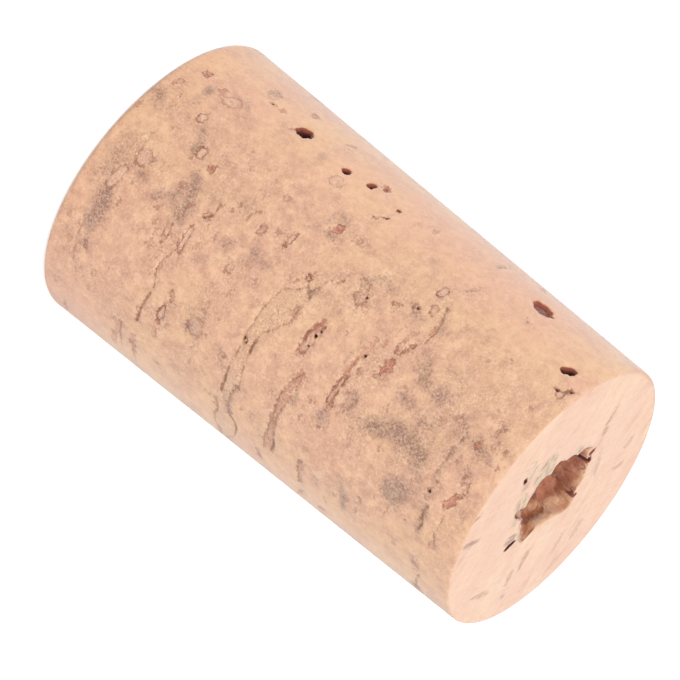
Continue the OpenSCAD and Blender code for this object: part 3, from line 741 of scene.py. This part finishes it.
def carve_mouth(places, points, marks, fine):
    """Steps the torn mouth down to the rod hole and cuts the small holes beside it into its ledges, and
    paints shade into those holes and down the hole's wall.
    """
    near_end = places.narrow | (places.hole & (places.down < TEAR_DEPTH + 0.4))
    hole_depth = end_field(places, END_HOLES, 0.06, -0.02)
    torn_depth = np.where(places.torn, torn_profile(places), places.down)
    torn_depth = np.where(near_end & (hole_depth > torn_depth), hole_depth, torn_depth)
    points[:, 2] = np.where(near_end, end_height(points[:, 0], points[:, 1]) - torn_depth, points[:, 2])
    # Painted shade: the small holes beside the mouth are coloured dark.
    hole_shade = end_field(places, END_HOLES, 0.08, 0.04) / DARK_FROM * near_end * smooth(0.45, 0.1, places.down)
    marks["pore"] = np.clip(np.maximum(marks["pore"], hole_shade), 0, 2)
    # Painted shade: the hole's wall turns browner the deeper it lies.
    sunk = np.where(places.torn, torn_depth, places.down)
    browner = sunk - listed(BROWN_FROM, places.angle) + 0.25 * fine
    marks["deep"] = places.hole * smooth(-0.12, 0.12, browner)
    ragged = speckle(places.points, *RAGGED_LUMPS)
    ragged *= smooth(9, 1, places.down) * (1 - CALM) + CALM
    ragged += hanging_flakes(places)
    points += np.where(places.hole, ragged, 0)[:, None] * places.outward()


def carved_cork():
    """The cork's skin with its relief, and what lies where on it."""
    skin = plain_cork()
    refine(skin, 0.12, holes_alone=False)
    refine(skin, 0.08, holes_alone=True)
    places = Places(skin)
    fine = speckle(places.points, (1, 0.6))
    marks = laid_marks(places)
    points = places.points - inward_depth(places, marks, fine)[:, None] * places.outward()
    carve_mouth(places, points, marks, fine)
    for vert, point in zip(skin.verts, points):
        vert.co = point * MM
    bmesh.ops.recalc_face_normals(skin, faces=skin.faces)
    return skin, marks


def put_in_scene(name, data):
    thing = bpy.data.objects.new(name, data)
    bpy.context.collection.objects.link(thing)
    return thing


def build_cork():
    skin, marks = carved_cork()
    mesh = bpy.data.meshes.new("head_cork")
    skin.to_mesh(mesh)
    skin.free()
    for name, values in marks.items():
        mesh.attributes.new(name, "FLOAT", "POINT").data.foreach_set("value", values)
    mesh.polygons.foreach_set("use_smooth", [True] * len(mesh.polygons))
    return put_in_scene("head_cork", mesh)


# -------- materials
class Value:
    """A value in a material, with arithmetic: each operation adds its Math node."""

    def __init__(self, material, socket):
        self.material, self.socket = material, socket

    def maths(self, operation, *inputs):
        return self.material.node("ShaderNodeMath", {"operation": operation}, dict(enumerate(inputs)))

    def __add__(self, other):
        return self.maths("ADD", self, other)

    def __sub__(self, other):
        return self.maths("SUBTRACT", self, other)

    def __rsub__(self, other):
        return self.maths("SUBTRACT", other, self)

    def __mul__(self, other):
        return self.maths("MULTIPLY", self, other)

    __radd__, __rmul__ = __add__, __mul__

    def absolute(self):
        return self.maths("ABSOLUTE", self)

    def larger(self, other):
        return self.maths("MAXIMUM", self, other)

    def step(self, low, high):
        """0 up to low, 1 from high on and a smooth rise between them: low may be the larger."""
        return self.material.node(
            "ShaderNodeMapRange", {"interpolation_type": "SMOOTHSTEP"},
            {"Value": self, "From Min": low, "From Max": high})


class Material:
    """One procedural finish, for a piece or for the world behind it."""

    def __init__(self, block):
        self.block = block
        self.block.use_nodes = True
        self.tree = self.block.node_tree
        self.tree.nodes.clear()

    def node(self, kind, settings, inputs, output=0):
        node = self.tree.nodes.new(kind)
        for name, setting in settings.items():
            setattr(node, name, setting)
        for key, value in inputs.items():
            if isinstance(value, Value):
                self.tree.links.new(value.socket, node.inputs[key])
            else:
                node.inputs[key].default_value = value
        return Value(self, node.outputs[output])

    def layer(self, share, under, over):
        """The colour over laid on the colour under."""
        return self.node("ShaderNodeMix", {"data_type": "RGBA"}, {0: share, 6: under, 7: over}, 2)

    def layers(self, colour, *coats):
        """Lays coats on a colour one after another: each is its share and its own colour."""
        for share, coat in coats:
            colour = self.layer(share, colour, coat)
        return colour

    def noise(self, place, size, detail, roughness):
        """Noise with lumps of the given size in mm."""
        return self.node("ShaderNodeTexNoise", {}, {
            "Vector": place, "Scale": 1 / size, "Detail": detail, "Roughness": roughness})

    def streaks(self, place, size, turn, stretch):
        """Noise drawn out along a direction of the ends: its turn is counted from the right, in degrees."""
        drawn_out = self.node("ShaderNodeMapping", {"vector_type": "TEXTURE"}, {
            "Vector": place, "Rotation": (0, 0, math.radians(turn)), "Scale": (stretch, 1, 1)})
        return self.noise(drawn_out, size, 3, 0.6)

    def mark(self, name):
        return self.node("ShaderNodeAttribute", {"attribute_name": name}, {}, "Fac")

    def finished(self, surface, output="ShaderNodeOutputMaterial"):
        last = self.tree.nodes.new(output)
        self.tree.links.new(surface.socket, last.inputs["Surface"])
        return self.block


def paint(*rgb):
    """A colour from its 0 to 255 values, none of them under 11."""
    return *(((value / 255 + 0.055) / 1.055) ** 2.4 for value in rgb), 1


# Flesh of the side, flesh of the cut ends, and the grain and specks of both, the pale ones painted glints.
TAN = paint(238, 192, 152)
ROSY_TAN = paint(236, 184, 153)
DUSKY_TAN = paint(229, 176, 147)
CROWDED_TAN = paint(206, 160, 132)
OLIVE_TAN = paint(224, 178, 142)
DARK_BLOTCH = paint(208, 160, 134)
PALE_BLOTCH = paint(245, 200, 162)
CREAM = paint(250, 208, 174)
PEACH = paint(243, 192, 159)
PINK = paint(244, 192, 164)
GROWTH_LINE = paint(228, 172, 142)
SAW_LINE = paint(234, 186, 154)
# Pale chalky tone of the saw lines, also used for painted glints in the specks.
CHALKY_AND_GLINT = paint(255, 220, 190)
DARK_GRAIN = paint(216, 166, 140)
GRAIN_GLINT = paint(250, 208, 178)
DARK_SPECK = paint(184, 138, 112)
# Torn cork: frayed fibres, flakes in the mouth, wall of the hole browner with painted shade.
STRAW = paint(230, 200, 158)
STRAW_SHADE = paint(140, 108, 74)
FLAKE = paint(244, 200, 162)
DARK_FLAKE = paint(224, 168, 132)
SHADED_WALL = paint(202, 138, 108)
SHADED_DARK_WALL = paint(176, 114, 86)
WALL_CELL = paint(160, 104, 76)
# Clouds of spotted cork, with their dark grains and pale grains painted as glints.
CLOUD = paint(184, 141, 125)
OLIVE_CLOUD = paint(188, 147, 119)
END_STREAK = paint(176, 110, 74)
CLOUD_DARK = paint(138, 99, 84)
CLOUD_GLINT = paint(236, 200, 176)
# Filled pores, outlines, seams and open pores, with painted shade for the deep insides of pores.
FILLING = paint(206, 128, 101)
FILLING_DARK = paint(152, 94, 76)
FILLING_PALE = paint(246, 206, 182)
FILLING_EDGE = paint(144, 90, 70)
CORE_PALE = paint(244, 206, 180)
CORE_DARK = paint(178, 118, 94)
OUTLINE = paint(156, 98, 74)
GREY_SEAM = paint(154, 116, 82)
PORE_RIM = paint(166, 90, 68)
# Painted shade: the dark maroon inside deep pores and holes.
PORE_SHADE = paint(80, 32, 27)
FLOOR_WHITE = paint(232, 232, 232)
WHITE = paint(255, 255, 255)


def cork_finish():
    cork = Material(bpy.data.materials.new("sanded_cork"))
    place = cork.node("ShaderNodeTexCoord", {}, {}, "Object")
    place = cork.node("ShaderNodeVectorMath", {"operation": "SCALE"}, {0: place, "Scale": 1 / MM})
    pore, rust, ring, seam, warmth, stain, grainy, busy, frayed, torn, deep, end = (
        cork.mark(name) for name in STRENGTHS)
    rust_in, ring_in, seam_in = (cork.mark(name) for name in DISTANCES)

    dust = cork.noise(place, 0.075, 1, 0.6)
    cells = cork.noise(place, 0.14, 3, 0.65)
    grain = cork.noise(place, 0.36, 3, 0.6)
    blotch = cork.noise(place, 0.75, 4, 0.65)
    cloud = cork.noise(place, 1.9, 4, 0.6)
    broad = cork.noise(place, 6.0, 2, 0.5)
    calm = 1 - end * 0.55
    specked = (cells - 0.5) * 1.9 + (dust - 0.5) * 0.9
    stray = (blotch - 0.5) * 0.3 + (grain - 0.5) * 0.5 + (cells - 0.5) * 0.42
    beside = rust_in.larger(ring_in).larger(seam_in) + stray
    crumbly = beside.step(-0.5, 0.05) * 0.45
    rough_cork = (cloud.step(0.46, 0.6) * 0.35 + grainy + busy * 0.3 + crumbly) * calm

    # Flesh: warm tan on the side, paler and pinker on the cut ends, with growth streaks and saw lines, and
    # painted glints on pale grains and specks.
    side = cork.layers(
        cork.layer(broad.step(0.38, 0.62), TAN, ROSY_TAN),
        (cloud.step(0.42, 0.66) * 0.8, DUSKY_TAN),
        (busy * 0.22, CROWDED_TAN),
        (blotch.step(0.5, 0.68) * (busy * 0.6 + 0.25), DARK_BLOTCH),
        (blotch.step(0.5, 0.34) * (busy * 0.5 + 0.2), PALE_BLOTCH),
        (grainy * 0.5, OLIVE_TAN))
    growth = cork.streaks(place, 0.8, 20, 3.2)
    saw_lines = cork.streaks(place, 0.16, -53, 14)
    cut = cork.layers(
        cork.layer(growth.step(0.36, 0.66), CREAM, PEACH),
        (broad.step(0.42, 0.6) * 0.5, PINK),
        (growth.step(0.6, 0.72) * 0.7, GROWTH_LINE),
        (saw_lines.step(0.5, 0.66) * 0.32, SAW_LINE),
        (saw_lines.step(0.48, 0.34) * 0.18, CHALKY_AND_GLINT))
    flesh = cork.layers(
        cork.layer(end, side, cut),
        (grain.step(0.5, 0.72) * 0.5 * calm, DARK_GRAIN),
        # Painted glints: pale grains over the flesh.
        (grain.step(0.48, 0.3) * 0.35 * calm, GRAIN_GLINT),
        (specked.step(0.02, 0.4) * (rough_cork * 0.4 + 0.07), DARK_SPECK),
        # Painted glints: pale specks, most where the cork is rough.
        (specked.step(-0.02, -0.4) * (rough_cork * 0.5 + 0.07), CHALKY_AND_GLINT))

    # Torn flesh: pale frayed fibres on the end, tan flakes in the mouth and a browner wall below, painted
    # shade that grows with depth.
    uneven = (cells - 0.5) * 1.1 + (grain - 0.5) * 0.6
    threads = cork.streaks(place, 0.1, 12, 5)
    fibre = cork.layer(threads.step(0.46, 0.62), STRAW, STRAW_SHADE)
    flakes = cork.noise(place, 0.8, 3, 0.6).step(0.4, 0.62)
    wall = cork.layer(deep, cork.layer(flakes, FLAKE, DARK_FLAKE), cork.layer(flakes, SHADED_WALL, SHADED_DARK_WALL))
    wall = cork.layer(cells.step(0.5, 0.75) * 0.35, wall, WALL_CELL)
    flesh = cork.layers(flesh, ((frayed + uneven * 0.9).step(0.25, 0.85) * 0.8, fibre), (torn, wall))

    # Clouds of spotted cork, soft at the edge, with dark grains and pale grains painted as glints; saw lines
    # break them on the ends.
    clouded = stain * 1.15 + (blotch - 0.5) * 1.5 * (stain * 0.6 + busy * 0.3 + 0.1) + specked * 0.12
    clouded = (clouded + ((saw_lines - 0.5) * stain * 3 - 0.12) * end).step(0.06, 0.95)
    cloudy = cork.layer(end, cork.layer(cloud.step(0.42, 0.58), CLOUD, OLIVE_CLOUD), END_STREAK)
    flesh = cork.layers(
        flesh,
        (clouded * 0.7, cloudy),
        ((specked + clouded * 0.3).step(0.1, 0.6) * clouded * 0.6, CLOUD_DARK),
        # Painted glints: pale grains in the clouds.
        ((specked - clouded * 0.1).step(-0.15, -0.5) * clouded * (0.75 - end * 0.4), CLOUD_GLINT))

    # Filled pores with a darker outline, outlines round a paler core, and seams.
    worn = cork.noise(place, 0.42, 2, 0.6).step(0.36, 0.6)
    filled = rust_in + stray
    fill = filled.step(-0.04, 0.08) * rust * (grain.step(0.66, 0.4) * 0.55 + 0.45)
    traced = ring_in + stray * 0.9
    parted = (seam_in + stray * 0.26).step(-0.06, 0.03) * seam * (worn * 0.4 + 0.6)
    flesh = cork.layers(
        flesh,
        (fill, FILLING),
        ((specked + 0.1).step(0, 0.4) * fill * 0.6, FILLING_DARK),
        ((specked - 0.05).step(-0.1, -0.5) * fill * 0.8, FILLING_PALE),
        (filled.absolute().step(0.09, 0.01) * rust * worn * (0.8 - end * 0.5), FILLING_EDGE),
        (traced.step(0.0, 0.12) * ring * 0.5, CORE_PALE),
        (traced.step(0.02, 0.14) * (specked + 0.05).step(0, 0.4) * ring * 0.5, CORE_DARK),
        (traced.absolute().step(0.11, 0.01) * ring * (worn * 0.65 + 0.35), OUTLINE),
        (parted, cork.layer(warmth, GREY_SEAM, OUTLINE)))

    # Open pores: red brown at the rim and down a shallow one, painted shade of dark maroon where they are
    # deep.
    flesh = cork.layers(
        flesh,
        (pore.step(0.04, 0.2), PORE_RIM),
        ((pore + uneven * 0.35).step(0.3, 0.8), PORE_SHADE))

    ridges = fill * specked * 0.35 + (clouded + rough_cork * 0.6) * specked * 0.6
    relief = cells * 0.7 + grain * 0.4 + dust * 0.3 + ridges - parted * 0.4
    bump = cork.node("ShaderNodeBump", {}, {"Strength": 0.8, "Distance": 0.07 * MM, "Height": relief})
    return cork.finished(cork.node("ShaderNodeBsdfPrincipled", {}, {
        "Base Color": flesh, "Roughness": 0.68 + grain * 0.25, "Normal": bump,
        "IOR": 1.42, "Sheen Weight": 0.85, "Sheen Roughness": 0.38,
    }))


# -------- studio
FLOOR_HALF = 3.0
FLOOR_LEVEL = -0.03 * MM
FLOOR_LIFT = 0.55
SKY = 0.74
# Lamps: name, place in m, diameter in m, watts.
LAMPS = [("key", (-0.38, -0.45, 0.72), 0.25, 3.2), ("fill", (0.65, -0.17, 0.2), 0.3, 1.1)]


def floor_finish():
    """White floor: it shows white where no shadow falls on it, and keeps the cork's shadow."""
    floor = Material(bpy.data.materials.new("white_floor"))
    seen = floor.node("ShaderNodeLightPath", {}, {}, "Is Camera Ray")
    diffuse = floor.node("ShaderNodeBsdfDiffuse", {}, {"Color": FLOOR_WHITE})
    glow = floor.node("ShaderNodeEmission", {}, {"Color": WHITE, "Strength": seen * FLOOR_LIFT})
    return floor.finished(floor.node("ShaderNodeAddShader", {}, {0: diffuse, 1: glow}))


def lay_floor():
    mesh = bpy.data.meshes.new("floor")
    corners = ((-1, -1), (1, -1), (1, 1), (-1, 1))
    mesh.from_pydata([(FLOOR_HALF * x, FLOOR_HALF * y, FLOOR_LEVEL) for x, y in corners], [], [(0, 1, 2, 3)])
    mesh.materials.append(floor_finish())
    floor = put_in_scene("floor", mesh)


def soft_sky():
    """Even light from all round, which shows as plain white behind the cork."""
    sky = Material(bpy.data.worlds.new("soft_sky"))
    camera_ray, mirrored = (
        sky.node("ShaderNodeLightPath", {}, {}, name) for name in ("Is Camera Ray", "Is Glossy Ray"))
    strength = camera_ray.larger(mirrored) * (1 - SKY) + SKY
    light = sky.node("ShaderNodeBackground", {}, {"Color": WHITE, "Strength": strength})
    bpy.context.scene.world = sky.finished(light, "ShaderNodeOutputWorld")


def hang_lamp(name, place, diameter, watts):
    lamp = bpy.data.lights.new(name, "AREA")
    lamp.shape = "DISK"
    lamp.size = diameter
    lamp.energy = watts
    hung = put_in_scene(name, lamp)
    hung.location = place
    aim = Vector((0, 0, CORK_LEN / 2 * MM)) - Vector(place)
    hung.rotation_euler = aim.to_track_quat("-Z", "Y").to_euler()


# The camera looks at the cork from its front, a little above, and is rolled so that the cork lies askew.
CAMERA_AIM = (0.645, 0.0, 14.7)
CAMERA_AZIMUTH = 0.14
CAMERA_RISE = 21.67
CAMERA_AWAY = 279.4
CAMERA_ROLL = 129.2
SENSOR = 36.0
FOCAL_LENGTH = 270.3


def set_camera():
    left, front = sin_cos(CAMERA_AZIMUTH)
    up, level = sin_cos(CAMERA_RISE)
    towards = Vector((-left * level, -front * level, up))
    camera = bpy.data.cameras.new("camera")
    camera.lens = FOCAL_LENGTH
    camera.sensor_width = SENSOR
    camera.clip_start = 0.01
    camera.clip_end = 20
    stand = put_in_scene("camera", camera)
    stand.location = (Vector(CAMERA_AIM) + towards * CAMERA_AWAY) * MM
    upright = (-towards).to_track_quat("-Z", "Y")
    roll = Quaternion((0, 0, 1), math.radians(CAMERA_ROLL))
    stand.rotation_euler = (upright @ roll).to_euler()
    bpy.context.scene.camera = stand


cork = build_cork()
cork.data.materials.append(cork_finish())
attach(cork, "root")
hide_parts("cork")

lay_floor()
soft_sky()
for lamp in LAMPS:
    hang_lamp(*lamp)
set_camera()
bpy.context.scene.view_settings.view_transform = "Standard"
